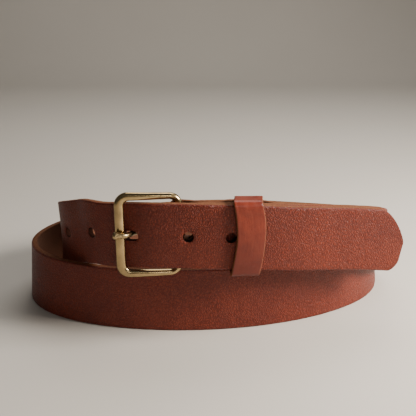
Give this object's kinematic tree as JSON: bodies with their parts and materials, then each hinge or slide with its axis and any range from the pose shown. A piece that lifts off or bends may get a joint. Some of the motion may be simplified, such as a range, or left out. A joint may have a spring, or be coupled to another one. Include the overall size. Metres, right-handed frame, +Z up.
{
  "type": "leather belt",
  "caption": "Gentleman's dress belt of pebbled brown leather with a brass frame buckle, fastened and coiled in two turns on its edge.",
  "frame": {"origin": "middle of the coiled belt's bounding box, on the surface it rests on", "axes": "+X to the right along the coil's long side, +Y away from the buckle side, +Z up"},
  "size_m": [0.216, 0.1284, 0.081],
  "materials": {
    "leather_strap": "pebbled grain, satin, raw edges",
    "leather_keeper": "smooth, satin",
    "brass_buckle": "satin, slightly darkened",
    "brass_tongue": "satin, slightly darkened",
    "brass_screw": "satin",
    "steel_wire": "bright wire"
  },
  "bodies": {
    "strap_coil": {"strap": "leather_strap", "screw_post_1": "brass_screw", "screw_1": "brass_screw", "screw_post_2": "brass_screw", "screw_2": "brass_screw"},
    "free_end": {"strap_tail": "leather_strap"},
    "frame": {"buckle_frame": "brass_buckle"},
    "tongue": {"buckle_tongue": "brass_tongue"},
    "keeper_loop": {"keeper": "leather_keeper", "keeper_staple": "steel_wire"}
  },
  "joints": [
    {"name": "frame_rock", "type": "hinge", "parent": "strap_coil", "child": "frame", "pos_m": [-0.0163, -0.05379, 0.058], "axis": [0, 0, 1], "range_deg": [0, 1.2]},
    {"name": "tongue_lift", "type": "hinge", "parent": "frame", "child": "tongue", "pos_m": [-0.0163, -0.05379, 0.058], "axis": [0, 0, 1], "range_deg": [0, 1.2]},
    {"name": "keeper_slide", "type": "slide", "parent": "strap_coil", "child": "keeper_loop", "axis": [0.978, 0.1997, -0.061], "range_m": [-0.0015, 0.0015]},
    {"name": "free_end_bend", "type": "hinge", "parent": "strap_coil", "child": "free_end", "pos_m": [0.04095, -0.05492, 0.05447], "axis": [0, 0, -1], "range_deg": [0, 35]}
  ]
}
